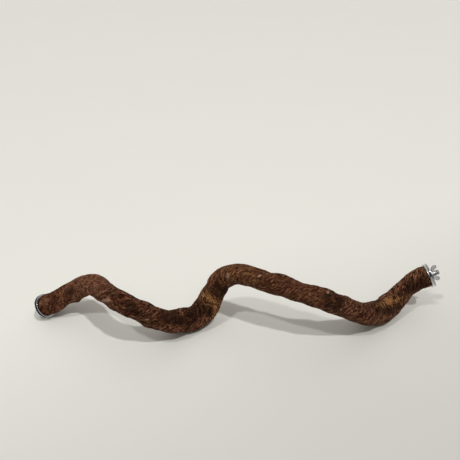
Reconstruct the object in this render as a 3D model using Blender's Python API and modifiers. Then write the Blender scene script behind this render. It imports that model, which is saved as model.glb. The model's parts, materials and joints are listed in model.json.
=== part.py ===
"""Vine wood perch: a naturally twisted stem with a clamp fitting at each cut end.

The stem lies on three low points: the rim of the left fitting's outer washer and a small
flat worn on the underside of each of its two low bends. +X runs along the perch to the
right, +Y away from the viewer and +Z up, and the origin is under the middle of the perch on
the surface that it lies on.

Each fitting is a threaded stud set in the wood, an inner washer against the cut end, an
outer washer and a wing nut. Cage bars are pinched between the two washers.
"""
import math

import bmesh
import bpy
import numpy as np
from mathutils import Matrix, Vector

MM = 0.001

# Heart of the stem from the left cut end to the right one, in millimetres.
STEM_ROUTE = (
    (-219.2, 11.2, 14.2),
    (-195.5, 15.5, 25.7),
    (-170.5, 16.0, 40.0),
    (-143.5, -6.0, 50.0),
    (-118.0, -27.0, 52.0),
    (-91.5, -30.5, 38.0),
    (-64.5, -18.0, 17.0),
    (-46.0, -7.5, 13.0),
    (-31.2, 6.5, 24.6),
    (-14.8, 15.3, 49.8),
    (3.0, 7.5, 62.5),
    (40.0, -9.0, 63.0),
    (88.5, -23.5, 55.0),
    (120.5, -21.0, 38.0),
    (148.0, -8.5, 19.5),
    (172.0, 7.5, 13.1),
    (192.5, 22.0, 24.5),
    (207.0, 29.0, 35.5),
    (220.0, 30.0, 42.0),
)
STEM_RADIUS = 11.0
# Thicker stretches: distance along the stem, half length and extra radius.
SWELLINGS = (
    (0.0, 14.0, 1.1),
    (50.0, 30.0, 1.3),
    (228.0, 42.0, 3.0),
    (474.0, 31.0, 2.6),
    (551.0, 14.0, 1.3),
)
# Knots, nubs and scars: distance along the stem, degrees round it from the top towards the
# viewer, height above the bark (below it when negative) and radius.
KNOTS = (
    (36.0, 150.0, 1.6, 4.0),
    (66.0, 60.0, 1.0, 7.0),
    (118.0, 40.0, -0.9, 6.0),
    (149.0, 345.0, 1.2, 13.0),
    (157.0, 150.0, 1.3, 4.5),
    (202.0, 350.0, 1.4, 14.0),
    (205.0, 75.0, -1.4, 8.0),
    (232.0, 60.0, 1.5, 9.0),
    (262.0, 300.0, 1.4, 7.0),
    (290.0, 20.0, 1.1, 6.0),
    (343.0, 345.0, 0.8, 14.0),
    (352.0, 215.0, 1.2, 7.0),
    (392.0, 35.0, 1.0, 5.0),
    (402.0, 345.0, 1.0, 13.0),
    (478.0, 70.0, 1.3, 8.0),
    (492.0, 345.0, 1.8, 13.0),
    (505.0, 140.0, -1.0, 7.0),
)
# Ridges that wind round the stem: how many, turns along the whole stem, height and phase.
RIDGES = (
    (2, 14.5, 0.28, 0.6),
    (3, 22.5, 0.25, 2.1),
    (4, 29.0, 0.20, 4.0),
)
LUMP_COUNT = 9
LUMP_HEIGHT = 0.20
LUMP_SEED = 11
STEM_STATIONS = 125
STEM_SIDES = 28
# Directions that the two cut faces look in, and how far from a face its slant is felt.
CUT_NORMALS = {"left": (-0.865, 0.06, -0.498), "right": (0.901, 0.05, 0.431)}
CUT_REACH = 16.0

CLEARANCE = 0.3
STUD_RADIUS = 3.0
THREAD_PITCH = 1.0
THREAD_DEPTH = 0.5
THREAD_ROWS_PER_PITCH = 4
STUD_OUT = 13.9
STUD_IN = 17.0
STUD_POINT = 4.0
STUD_POINT_RADIUS = 1.0
STUD_CHAMFER = 0.7
STUD_SIDES = 10

WASHER_RADIUS = 14.0
WASHER_THICKNESS = 1.0
WASHER_CHAMFER = 0.2
CLAMP_GAP = 2.05
ROUND_STEPS = 32

NUT_BASE_RADIUS = 5.3
NUT_TOP_RADIUS = 4.5
NUT_HEIGHT = 5.0
NUT_COLLAR = 0.8
NUT_STEPS = 20
WING_REACH = 11.5
WING_HEIGHT = 8.6
WING_TIP_RADIUS = 2.7
WING_TIP_DEGREES = (-40, 160, 25)
WING_THICKNESS = 2.0
# Edges of a wing from the hub out to its tip and back: distance from the axis and height.
WING_LOWER_EDGE = ((3.9, 0.9), (6.2, 1.4))
WING_UPPER_EDGE = ((5.3, 4.6), (3.9, 4.4))
# How far each nut is turned about its stud from wings that lie level.
LEFT_NUT_TURN = 135.0
RIGHT_NUT_TURN = 85.0

BORE_RADIUS = STUD_RADIUS + CLEARANCE
BORE_OVERCUT = 1.0
INNER_WASHER_SEAT = CLEARANCE
OUTER_WASHER_SEAT = INNER_WASHER_SEAT + WASHER_THICKNESS + CLAMP_GAP
STACK_HEIGHT = OUTER_WASHER_SEAT + WASHER_THICKNESS
NUT_SEAT = STACK_HEIGHT + CLEARANCE

BARK_COLOR = (0.115, 0.048, 0.026, 1.0)
ZINC_COLOR = (0.62, 0.63, 0.62, 1.0)
UP = np.array([0.0, 0.0, 1.0])


def clear_scene():
    """Remove every object that a new file opens with."""
    for item in list(bpy.data.objects):
        bpy.data.objects.remove(item)


def make_collection(name):
    """A new collection, linked to the scene."""
    collection = bpy.data.collections.new(name)
    bpy.context.scene.collection.children.link(collection)
    return collection


def make_material(name, color, roughness, metallic):
    """A plain Principled material."""
    material = bpy.data.materials.new(name)
    material.use_nodes = True
    shader = material.node_tree.nodes["Principled BSDF"]
    shader.inputs["Base Color"].default_value = color
    shader.inputs["Roughness"].default_value = roughness
    shader.inputs["Metallic"].default_value = metallic
    material.diffuse_color = color
    return material


def unit(vectors):
    """The vectors, each with length 1."""
    return vectors / np.linalg.norm(vectors, axis=-1, keepdims=True)


def spline_through(points, count):
    """Points, unit tangents and distances along a natural cubic spline, evenly spaced.

    The parameter is the chord length from point to point. The second derivatives m solve
    h[i-1] m[i-1] + 2 (h[i-1] + h[i]) m[i] + h[i] m[i+1] = 6 (slope[i] - slope[i-1]), with
    none at the two ends.
    """
    points = np.array(points)
    steps = np.linalg.norm(np.diff(points, axis=0), axis=1)
    knots = np.concatenate([[0.0], np.cumsum(steps)])
    slopes = np.diff(points, axis=0) / steps[:, None]
    matrix = np.eye(len(points))
    right = np.zeros_like(points)
    for i in range(1, len(points) - 1):
        matrix[i, i - 1:i + 2] = steps[i - 1], 2 * (steps[i - 1] + steps[i]), steps[i]
        right[i] = 6 * (slopes[i] - slopes[i - 1])
    bend = np.linalg.solve(matrix, right)

    def place(t):
        i = np.clip(np.searchsorted(knots, t, side="right") - 1, 0, len(steps) - 1)
        h = steps[i][:, None]
        a = (knots[i + 1] - t)[:, None] / h
        b = 1 - a
        bow = ((a ** 3 - a) * bend[i] + (b ** 3 - b) * bend[i + 1]) * h * h / 6
        return a * points[i] + b * points[i + 1] + bow

    fine = np.linspace(0.0, knots[-1], 40 * len(points))
    fine_steps = np.linalg.norm(np.diff(place(fine), axis=0), axis=1)
    fine_distance = np.concatenate([[0.0], np.cumsum(fine_steps)])
    distance = np.linspace(0.0, fine_distance[-1], count)
    t = np.interp(distance, fine_distance, fine)
    nudge = 0.01
    ahead = place(np.minimum(t + nudge, knots[-1]))
    behind = place(np.maximum(t - nudge, 0.0))
    return place(t), unit(ahead - behind), distance


def stem_relief(distance, angle, length):
    """Height of the bark above a plain round stem, in millimetres.

    Winding ridges are cosines of the angle and the distance together. Lumps are a seeded sum
    of long waves. Each knot is a smooth hill or hollow, exp(-(d / radius)^2) of its height,
    where d is the distance over the bark.
    """
    relief = np.zeros(np.broadcast(distance, angle).shape)
    along = distance / length
    for count, turns, height, phase in RIDGES:
        relief += height * np.cos(count * angle + 2 * np.pi * turns * along + phase)
    random = np.random.default_rng(LUMP_SEED)
    for _ in range(LUMP_COUNT):
        around = random.integers(0, 4)
        waves = random.uniform(5.0, 16.0)
        phase = random.uniform(0.0, 2 * np.pi)
        relief += LUMP_HEIGHT * np.cos(around * angle + 2 * np.pi * waves * along + phase)
    for place, degrees, height, radius in KNOTS:
        turn = (angle - math.radians(degrees) + np.pi) % (2 * np.pi) - np.pi
        squared = (distance - place) ** 2 + (turn * STEM_RADIUS) ** 2
        relief += height * np.exp(-squared / radius ** 2)
    return relief


def stem_radius(distance):
    """Mean radius of the stem at a distance along it."""
    radius = np.full_like(distance, STEM_RADIUS)
    for place, half_length, extra in SWELLINGS:
        radius += extra * np.exp(-((distance - place) / half_length) ** 2)
    return radius


def stem_rings():
    """Rings of bark points along the stem, with no point under the surface it lies on.

    Near a cut end the rings slide along the grain towards the plane of the cut face.
    """
    heart, tangent, distance = spline_through(STEM_ROUTE, STEM_STATIONS)
    heart = heart + UP * rim_lift()
    top = unit(UP - (tangent @ UP)[:, None] * tangent)
    front = np.cross(tangent, top)
    angle = np.linspace(0.0, 2 * np.pi, STEM_SIDES, endpoint=False)[None, :]
    length = distance[-1]
    distance = distance[:, None]
    radius = stem_radius(distance) + stem_relief(distance, angle, length)
    outward = np.cos(angle)[..., None] * top[:, None] + np.sin(angle)[..., None] * front[:, None]
    rings = heart[:, None] + radius[..., None] * outward
    for side, end, way in (("left", 0, -1), ("right", -1, 1)):
        normal = cut_normal(side)
        grain = way * tangent[end]
        past_plane = (rings - heart[:, None]) @ normal / (grain @ normal)
        share = np.clip(1 - np.abs(distance - distance[end]) / CUT_REACH, 0.0, 1.0)
        rings = rings - (share * past_plane)[..., None] * grain
    rings[..., 2] = np.maximum(rings[..., 2], 0.0)
    return rings


def cut_normal(side):
    """Unit vector out of one of the cut faces."""
    return unit(np.array(CUT_NORMALS[side]))


def rim_lift():
    """How far the route rises so that the left outer washer's rim touches the surface."""
    outward = cut_normal("left")
    rim_height = STACK_HEIGHT - WASHER_CHAMFER
    drop = rim_height * -outward[2] + WASHER_RADIUS * math.hypot(outward[0], outward[1])
    return drop - STEM_ROUTE[0][2]


def end_frames():
    """Frame of each cut end: its middle, +Z out along the stud, +X level."""
    frames = {}
    for side, end in (("left", STEM_ROUTE[0]), ("right", STEM_ROUTE[-1])):
        outward = Vector(cut_normal(side))
        level = Vector(UP).cross(outward).normalized()
        frame = Matrix((level, outward.cross(level), outward)).transposed().to_4x4()
        frame.translation = (Vector(end) + Vector(UP) * rim_lift()) * MM
        frames[side] = frame
    return frames


def loft(name, rings, collection, material):
    """A closed solid through rings of points, with a flat face over each end."""
    count, sides = rings.shape[:2]
    faces = [tuple(range(sides - 1, -1, -1))]
    for i in range(count - 1):
        for j in range(sides):
            k = (j + 1) % sides
            faces.append((i * sides + j, i * sides + k, (i + 1) * sides + k, (i + 1) * sides + j))
    faces.append(tuple(range((count - 1) * sides, count * sides)))
    mesh = bpy.data.meshes.new(name)
    mesh.from_pydata((rings.reshape(-1, 3) * MM).tolist(), [], faces)
    mesh.materials.append(material)
    mesh.shade_smooth()
    mesh.set_sharp_from_angle(angle=math.radians(50))
    item = bpy.data.objects.new(name, mesh)
    collection.objects.link(item)
    return item


def turned(name, profile, steps, collection, material):
    """A solid turned about Z from a closed profile that runs down its outer side."""
    points = [(radius * MM, 0.0, height * MM) for radius, height in profile]
    edges = [(i, (i + 1) % len(points)) for i in range(len(points))]
    mesh = bpy.data.meshes.new(name)
    mesh.from_pydata(points, edges, [])
    mesh.materials.append(material)
    item = bpy.data.objects.new(name, mesh)
    collection.objects.link(item)
    screw = item.modifiers.new("turn", "SCREW")
    screw.steps = steps
    screw.render_steps = steps
    screw.use_merge_vertices = True
    screw.merge_threshold = 0.00001
    return item


def apply_modifiers(item):
    """Turn an object's evaluated shape into its own mesh."""
    graph = bpy.context.evaluated_depsgraph_get()
    mesh = bpy.data.meshes.new_from_object(item.evaluated_get(graph))
    item.modifiers.clear()
    item.data = mesh
    return item


def cut(item, cutter, operation):
    """Add a Boolean modifier that joins or cuts."""
    modifier = item.modifiers.new(operation.lower(), "BOOLEAN")
    modifier.operation = operation
    modifier.object = cutter
    modifier.solver = "EXACT"


def make_stem(frames, collection, cutters, material):
    """The stem, bored at each cut end for its stud."""
    stem = loft("vine_stem", stem_rings(), collection, material)
    depth = (STUD_IN + CLEARANCE) * MM
    mouth = BORE_OVERCUT * MM
    for side, frame in frames.items():
        bpy.ops.mesh.primitive_cylinder_add(
            vertices=STUD_SIDES, radius=BORE_RADIUS * MM, depth=depth + mouth
        )
        bore = bpy.context.object
        bore.name = side + "_bore"
        bore.matrix_world = frame @ Matrix.Translation((0, 0, (mouth - depth) / 2))
        bore.display_type = "WIRE"
        bore.hide_render = True
        for owner in list(bore.users_collection):
            owner.objects.unlink(bore)
        cutters.objects.link(bore)
        cut(stem, bore, "DIFFERENCE")
    return stem


def stud_rings():
    """Rings of the stud: a point and plain shank in the wood, then a right-hand thread.

    Outside the wood the radius is the thread's middle radius plus half its depth times the
    cosine of 2 pi (height / pitch) less the angle, so the crest winds up one pitch a turn.
    """
    rows = round(STUD_OUT / THREAD_PITCH * THREAD_ROWS_PER_PITCH)
    shank = [-STUD_IN, STUD_POINT - STUD_IN]
    height = np.concatenate([shank, np.linspace(0.0, STUD_OUT, rows)])[:, None]
    angle = np.linspace(0.0, 2 * np.pi, STUD_SIDES, endpoint=False)[None, :]
    middle = STUD_RADIUS - THREAD_DEPTH / 2
    thread = middle + THREAD_DEPTH / 2 * np.cos(2 * np.pi * height / THREAD_PITCH - angle)
    radius = np.where(height > 0, thread, middle)
    radius = np.minimum(radius, STUD_RADIUS - STUD_CHAMFER + STUD_OUT - height)
    radius = np.where(height <= -STUD_IN, STUD_POINT_RADIUS, radius)
    return np.stack(
        [radius * np.cos(angle), radius * np.sin(angle), height + 0 * angle], axis=-1
    )


def wing_outline():
    """Outline of one wing in the plane of the stud: foot, rounded tip and hollow back."""
    centre_x = WING_REACH - WING_TIP_RADIUS
    centre_z = WING_HEIGHT - WING_TIP_RADIUS
    first, last, step = WING_TIP_DEGREES
    tip = []
    for degrees in range(first, last + 1, step):
        turn = math.radians(degrees)
        tip.append((centre_x + WING_TIP_RADIUS * math.cos(turn),
                    centre_z + WING_TIP_RADIUS * math.sin(turn)))
    return [*WING_LOWER_EDGE, *tip, *WING_UPPER_EDGE]


def make_wing(name, quarter, collection):
    """One wing as a mesh: its outline, extruded to the wing's thickness."""
    curve = bpy.data.curves.new(name, "CURVE")
    curve.dimensions = "2D"
    curve.fill_mode = "BOTH"
    curve.extrude = WING_THICKNESS / 2 * MM
    spline = curve.splines.new("POLY")
    outline = wing_outline()
    spline.points.add(len(outline) - 1)
    for point, (x, z) in zip(spline.points, outline):
        point.co = (x * MM, z * MM, 0.0, 1.0)
    spline.use_cyclic_u = True
    wire = bpy.data.objects.new(name, curve)
    collection.objects.link(wire)
    graph = bpy.context.evaluated_depsgraph_get()
    mesh = bpy.data.meshes.new_from_object(wire.evaluated_get(graph))
    bpy.data.objects.remove(wire)
    body = bmesh.new()
    body.from_mesh(mesh)
    bmesh.ops.remove_doubles(body, verts=body.verts, dist=0.00001)
    bmesh.ops.recalc_face_normals(body, faces=body.faces)
    stand_up = Matrix.Rotation(quarter, 4, "Z") @ Matrix.Rotation(math.pi / 2, 4, "X")
    bmesh.ops.transform(body, matrix=stand_up, verts=body.verts)
    body.to_mesh(mesh)
    body.free()
    wing = bpy.data.objects.new(name, mesh)
    collection.objects.link(wing)
    return wing


def make_wing_nut(name, collection, material):
    """A wing nut: a tapered round hub with a plain clear bore, and two upswept wings."""
    profile = [
        (NUT_TOP_RADIUS, NUT_HEIGHT),
        (NUT_BASE_RADIUS, NUT_COLLAR),
        (NUT_BASE_RADIUS, 0.0),
        (BORE_RADIUS, 0.0),
        (BORE_RADIUS, NUT_HEIGHT),
    ]
    nut = turned(name, profile, NUT_STEPS, collection, material)
    wings = [make_wing(name + "_wing", quarter, collection) for quarter in (0.0, math.pi)]
    for wing in wings:
        cut(nut, wing, "UNION")
    apply_modifiers(nut)
    for wing in wings:
        bpy.data.objects.remove(wing)
    return nut


def make_washer(name, collection, material):
    """A wide flat washer with its rim's edges broken."""
    inside = WASHER_RADIUS - WASHER_CHAMFER
    profile = [
        (inside, WASHER_THICKNESS),
        (WASHER_RADIUS, WASHER_THICKNESS - WASHER_CHAMFER),
        (WASHER_RADIUS, WASHER_CHAMFER),
        (inside, 0.0),
        (BORE_RADIUS, 0.0),
        (BORE_RADIUS, WASHER_THICKNESS),
    ]
    return turned(name, profile, ROUND_STEPS, collection, material)


def make_fitting(side, frame, nut_turn, collection, material):
    """Stud, washers and wing nut of one end, parented to an empty on the stud's axis."""
    axis = bpy.data.objects.new(side + "_end", None)
    axis.matrix_world = frame
    collection.objects.link(axis)
    pieces = (
        (loft(side + "_stud", stud_rings(), collection, material), 0.0, 0.0),
        (make_washer(side + "_inner_washer", collection, material), INNER_WASHER_SEAT, 0.0),
        (make_washer(side + "_outer_washer", collection, material), OUTER_WASHER_SEAT, 0.0),
        (make_wing_nut(side + "_wing_nut", collection, material), NUT_SEAT, nut_turn),
    )
    for piece, seat, turn in pieces:
        piece.parent = axis
        piece.location = (0.0, 0.0, seat * MM)
        piece.rotation_euler = (0.0, 0.0, math.radians(turn))


def main():
    clear_scene()
    perch = make_collection("vine_wood_perch")
    cutters = make_collection("cutters")
    bark = make_material("bark", BARK_COLOR, 0.85, 0.0)
    zinc = make_material("zinc", ZINC_COLOR, 0.32, 1.0)
    frames = end_frames()
    make_stem(frames, perch, cutters, bark)
    make_fitting("left", frames["left"], LEFT_NUT_TURN, perch, zinc)
    make_fitting("right", frames["right"], RIGHT_NUT_TURN, perch, zinc)
    bpy.context.view_layer.update()


main()
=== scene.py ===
"""A bird-cage perch of twisted vine, with a stud, two washers and a wing nut at each cut end.

Lengths in the formulas are millimetres, and meshes and properties are in metres.
"""

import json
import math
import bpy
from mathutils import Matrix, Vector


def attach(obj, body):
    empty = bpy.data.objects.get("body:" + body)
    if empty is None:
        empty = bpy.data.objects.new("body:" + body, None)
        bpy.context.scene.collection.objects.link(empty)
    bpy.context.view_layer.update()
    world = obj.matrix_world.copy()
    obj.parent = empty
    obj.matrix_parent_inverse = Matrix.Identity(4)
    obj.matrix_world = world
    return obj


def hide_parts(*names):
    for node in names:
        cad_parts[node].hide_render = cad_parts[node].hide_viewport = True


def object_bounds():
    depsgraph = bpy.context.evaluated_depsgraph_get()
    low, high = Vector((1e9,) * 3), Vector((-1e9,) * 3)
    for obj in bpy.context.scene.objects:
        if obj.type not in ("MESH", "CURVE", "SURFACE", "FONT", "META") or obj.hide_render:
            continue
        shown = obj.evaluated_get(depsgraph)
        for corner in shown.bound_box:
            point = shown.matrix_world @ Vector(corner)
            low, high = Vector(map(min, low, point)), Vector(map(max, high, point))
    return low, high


bl_info = {
    "name": "Vine Perch",
    "version": (1, 0, 0),
    "blender": (4, 5, 0),
    "location": "3D View > Sidebar > Vine Perch",
    "description": "Builds a twisted vine perch with its end fittings and a plain studio",
    "category": "Add Mesh",
}

import bpy
import numpy as np

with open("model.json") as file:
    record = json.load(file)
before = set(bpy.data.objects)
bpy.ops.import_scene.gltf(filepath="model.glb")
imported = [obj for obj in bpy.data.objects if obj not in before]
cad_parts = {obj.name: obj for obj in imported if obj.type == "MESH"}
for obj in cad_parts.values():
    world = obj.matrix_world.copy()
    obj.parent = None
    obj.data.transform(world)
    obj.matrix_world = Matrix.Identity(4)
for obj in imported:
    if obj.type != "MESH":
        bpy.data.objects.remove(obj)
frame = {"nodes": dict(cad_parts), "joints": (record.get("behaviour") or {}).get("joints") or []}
CAD_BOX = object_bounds()

MM = 0.001
UP = np.array([0.0, 0.0, 1.0])
SIDES = ("left", "right")

# The stem's middle line, its thickness and its large forms, as in the solid.
STEM_ROUTE = (
    (-219.2, 11.2, 14.2),
    (-195.5, 15.5, 25.7),
    (-170.5, 16.0, 40.0),
    (-143.5, -6.0, 50.0),
    (-118.0, -27.0, 52.0),
    (-91.5, -30.5, 38.0),
    (-64.5, -18.0, 17.0),
    (-46.0, -7.5, 13.0),
    (-31.2, 6.5, 24.6),
    (-14.8, 15.3, 49.8),
    (3.0, 7.5, 62.5),
    (40.0, -9.0, 63.0),
    (88.5, -23.5, 55.0),
    (120.5, -21.0, 38.0),
    (148.0, -8.5, 19.5),
    (172.0, 7.5, 13.1),
    (192.5, 22.0, 24.5),
    (207.0, 29.0, 35.5),
    (220.0, 30.0, 42.0),
)
STEM_RADIUS = 11.0
# Distance along the stem, half length and extra radius.
SWELLINGS = (
    (0.0, 14.0, 1.1),
    (50.0, 30.0, 1.3),
    (228.0, 42.0, 3.0),
    (474.0, 31.0, 2.6),
    (551.0, 14.0, 1.3),
)
# Distance along the stem, degrees round it from the top to the viewer's side, height, radius.
KNOTS = (
    (36.0, 150.0, 1.6, 4.0),
    (66.0, 60.0, 1.0, 7.0),
    (118.0, 40.0, -0.9, 6.0),
    (149.0, 345.0, 1.2, 13.0),
    (157.0, 150.0, 1.3, 4.5),
    (202.0, 350.0, 1.4, 14.0),
    (205.0, 75.0, -1.4, 8.0),
    (232.0, 60.0, 1.5, 9.0),
    (262.0, 300.0, 1.4, 7.0),
    (290.0, 20.0, 1.1, 6.0),
    (343.0, 345.0, 0.8, 14.0),
    (352.0, 215.0, 1.2, 7.0),
    (392.0, 35.0, 1.0, 5.0),
    (402.0, 345.0, 1.0, 13.0),
    (478.0, 70.0, 1.3, 8.0),
    (492.0, 345.0, 1.8, 13.0),
    (505.0, 140.0, -1.0, 7.0),
)
# Count round the stem, turns along it, height and phase.
RIDGES = ((2, 14.5, 0.28, 0.6), (3, 22.5, 0.25, 2.1), (4, 29.0, 0.20, 4.0))
# Slow lumps: fewer than LUMP_AROUND waves round the stem, and LUMP_WAVES along it, at random.
LUMP_COUNT = 9
LUMP_HEIGHT = 0.20
LUMP_SEED = 11
LUMP_AROUND = 4
LUMP_WAVES = (5.0, 16.0)

STEM_ROWS = 780
STEM_COLUMNS = 120
# Lengths next to a cut in which the rings slide into its plane, and in which the rim draws in.
CUT_REACH = 16.0
RIM_EASE = 0.5
BORE_RADIUS = 3.3
BORE_DEPTH = 17.3
# Where the rows of a cut end lie: shares of the way from rim to bore, and depths down the bore.
FACE_SHARES = (0.02, 0.1, 0.25, 0.45, 0.65, 0.82, 0.95, 1.0)
BORE_DEPTHS = (0.5, 4.0, 9.0, BORE_DEPTH - 0.3, BORE_DEPTH)
BORE_FLOOR_SHARE = 0.85
FACE_HOLLOW = 0.06
SAW_HEIGHT = 0.05
SAW_WAVES = 2.3

# Sway of the fibres: radians, millimetres along the stem a radian, times round it, phase.
FIBRE_SWAYS = (
    (0.25, 23.0, 0, 1.0),
    (0.16, 9.7, 0, 2.5),
    (0.10, 3.1, 2, 0.0),
    (0.06, 1.7, -3, 0.0),
)
# Random layers of the relief: millimetres across the fibres and along them, and the seed.
BARK_CELLS = {
    "strands": (2.6, 8.0, 1),
    "shreds": (1.5, 3.6, 2),
    "crumbs": (1.25, 1.6, 8),
    "crossing": (3.6, 9.0, 3),
    "open_bark": (13.0, 13.0, 4),
    "flakes": (4.5, 11.0, 5),
    "pores": (1.4, 2.4, 6),
    "wrinkles": (5.0, 5.0, 7),
}
FURROW_WIDTH = 0.13
PORE_DEPTH = 0.16
WRINKLE_HEIGHT = 0.5
WRINKLE_PITCH = 4.2
WRINKLE_SWAY = 1.6
DARK_DEPTH = 0.25
SCAR_HEIGHT = 0.40
PIT_DEPTH = 1.1

# Each mark runs from one place to another: distance and degrees of both ends, half width, strength.
# Dark patches come first, one of them partly painted shade under the stem, then places worn to
# golden wood, pale scars with one painted highlight among them, and pits.
DARK_AND_SHADE_MARKS = (
    (34, 60, 45, 62, 4.0, 0.7),
    (39, 46, 42, 50, 4.0, 0.5),
    (80, 60, 86, 55, 1.3, 0.7),
    (97, 45, 104, 15, 2.0, 0.4),
    (103, 78, 110, 52, 2.0, 0.4),
    (114, 35, 122, 5, 2.0, 0.4),
    (126, 95, 132, 70, 2.5, 0.5),
    (134, 35, 142, 60, 4.5, 1.3),
    (150, 110, 160, 88, 3.0, 0.5),
    (166, 40, 182, 36, 6.0, 1.2),
    (182, 44, 190, 60, 4.5, 0.9),
    (196, 38, 206, 24, 5.5, 1.1),
    (206, 24, 224, 18, 7.0, 1.2),
    (224, 20, 230, 30, 5.0, 0.9),
    (227, 66, 234, 55, 2.8, 1.1),
    (253, 30, 271, 64, 5.0, 0.9),
    # Partly painted shade: the black on the underside here is shade as well as dark bark.
    (256, 94, 270, 128, 7.0, 1.2),
    (319, 98, 325, 78, 2.5, 0.4),
    (331, 66, 335, 54, 3.0, 0.5),
    (339, 78, 353, 45, 2.5, 0.4),
    (386, 30, 389, 22, 3.0, 1.0),
    (391, 64, 398, 50, 5.0, 1.1),
    (394, -10, 402, 24, 5.0, 0.8),
    (400, 72, 401, 78, 4.0, 0.8),
    (420, 61, 428, 42, 2.2, 0.6),
    (431, 74, 435, 66, 2.5, 0.5),
    (445, 8, 451, -4, 5.0, 0.6),
    (456, 37, 463, 26, 3.5, 1.1),
    (468, 40, 497, 62, 4.2, 1.3),
    (511, 30, 524, 56, 5.0, 1.0),
    (524, 24, 528, 16, 4.0, 0.7),
    (530, 62, 540, 78, 6.0, 1.1),
    (543, 60, 545, 92, 4.5, 0.9),
)
GOLD_MARKS = (
    (26, 18, 34, 10, 3.5, 0.35),
    (68, 22, 80, 4, 9.0, 0.18),
    (125, 62, 129, 52, 2.3, 0.9),
    (151, 98, 155, 86, 2.3, 0.8),
    (226, 98, 236, 80, 5.0, 0.65),
    (230, 8, 246, -6, 8.0, 0.6),
    (241, 70, 245, 60, 3.5, 0.8),
    (243, 92, 252, 84, 6.0, 0.75),
    (245, 26, 249, 14, 5.0, 0.8),
    (280, 40, 318, 40, 24.0, 0.45),
    (356, 90, 364, 80, 4.5, 0.5),
    (456, 80, 464, 74, 6.0, 0.5),
    (460, 5, 486, 13, 4.4, 1.15),
    (486, 0, 494, -4, 4.0, 0.9),
    (486, 14, 508, 39, 3.6, 1.15),
    (542, 4, 550, -4, 7.0, 0.5),
)
SCARS_AND_HIGHLIGHT = (
    (29, 118, 33, 108, 1.6, 0.7),
    (31, 30, 35, 20, 1.3, 0.6),
    (56, 60, 59, 54, 1.2, 0.5),
    (107, 90, 115, 58, 2.0, 1.1),
    (151, 76, 153, 72, 1.4, 0.8),
    (161, 140, 162, 137, 1.8, 0.8),
    (287, 65, 288, 55, 1.7, 1.3),
    (319, 36, 320, 30, 1.7, 0.9),
    (388, 5, 388, 3, 1.5, 1.3),
    # A painted highlight: a pale pinkish spot where the light glints.
    (405, 77, 405, 73, 1.3, 0.8),
)
PITS = (
    (228, 66, 234, 54, 1.8, 0.9),
    (340, 359, 340, 357, 1.5, 1.0),
    (387, 20, 389, 14, 2.0, 0.8),
    (456, 37, 459, 32, 2.5, 0.9),
)
# Strength of the bark's pattern: distance along the stem, 1 for the usual strength.
CONTRASTS = (
    (0.0, 0.85),
    (55.0, 0.95),
    (105.0, 1.15),
    (145.0, 1.4),
    (220.0, 1.6),
    (265.0, 1.3),
    (305.0, 0.75),
    (370.0, 0.88),
    (405.0, 1.35),
    (450.0, 1.15),
    (495.0, 1.75),
    (553.0, 1.7),
)
# Slow change of tone: distance along the stem, lighter above 0 and darker below.
TONES = (
    (0.0, -0.03),
    (25.0, 0.02),
    (58.0, 0.15),
    (82.0, 0.15),
    (115.0, -0.06),
    (190.0, -0.05),
    (235.0, 0.01),
    (260.0, 0.07),
    (315.0, 0.02),
    (345.0, -0.04),
    (400.0, 0.0),
    (480.0, 0.01),
    (553.0, 0.07),
)
# The side turned away from the viewer gets this many dark and this many golden marks at random.
STRAY_MARKS = 30
STRAY_SEED = 5
# Ranges of their distance, degrees, reach, half width and strength, and their slant in degrees.
STRAY_RANGES = ((8.0, 540.0), (172.0, 320.0), (2.0, 9.0), (2.5, 6.0), (0.5, 1.2))
STRAY_SLANT = 5.0

# Tone of the bark, and the shares of the brown's red, green and blue that it has there.
BARK_TONES = (
    (0.08, (0.12, 0.08, 0.06)),
    (0.34, (0.50, 0.42, 0.37)),
    (0.54, (1.02, 1.00, 0.98)),
    (0.74, (1.80, 1.98, 2.10)),
    (1.00, (3.60, 4.60, 5.20)),
)
# Tone of the bark, and the share of the bare wood's colour where the bark is worn off.
WOOD_TONES = ((0.08, 0.05), (0.34, 0.20), (0.55, 0.52), (0.76, 1.10), (1.00, 2.40))

STUD_RADIUS = 3.0
THREAD_PITCH = 1.0
THREAD_ROWS_PER_PITCH = 18
THREAD_STEEPNESS = 1.35
THREAD_CREST = 0.9
# How far a stud stands out, how deep it goes into the wood, and the length of its point there.
STUD_OUT = 13.9
STUD_IN = 17.0
STUD_POINT = 4.0
STUD_POINT_RADIUS = 1.0
# Heights of its rows in the wood: the point's tip, the shank's first two rows and its last.
STUD_ROWS_IN = (-STUD_IN, STUD_POINT - STUD_IN, STUD_POINT - STUD_IN + 0.3, -0.4)
STUD_CHAMFER = 0.7
STUD_COLUMNS = 48

# A hair less than the solid's 14 mm, because the solid's flats cut into its circle.
WASHER_RADIUS = 13.97
WASHER_MIDDLE_RADIUS = 9.0
WASHER_THICKNESS = 1.0
WASHER_COLUMNS = 120
FLAT_CORNER = 0.01
PROFILE_STEPS = 6

NUT_BASE_RADIUS = 5.3
NUT_TOP_RADIUS = 4.5
NUT_HEIGHT = 5.0
NUT_COLLAR = 0.8
NUT_COLUMNS = 72
WING_REACH = 11.5
WING_HEIGHT = 8.6
WING_TIP_RADIUS = 2.7
# Outline of a wing by radius and height: out along its foot, round its tip and back to the hub.
WING_FOOT = ((3.7, 0.9), (5.2, 1.2), (6.6, 1.6), (8.4, 2.35))
WING_BACK = ((5.65, 5.1), (5.0, 4.55), (3.7, 4.4))
WING_TIP_ARC = (-50.0, 165.0)
WING_TIP_POINTS = 14
WING_POINTS = 80
WING_ROWS = 19
WING_MIDDLE = (7.4, 4.3)
WING_TAPER = 0.25
WING_TAPER_START = 5.0
WING_TAPER_LENGTH = 6.0
# A nut's casting: the size of its cells, and the rounds of smoothing.
CAST_CELL = 0.16
CAST_SOFTENING = 5
# Degrees that each nut is turned on its stud.
NUT_TURNS = {"left": 135.0, "right": 85.0}
ZINC_NAME = "zinc_plating"

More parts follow.
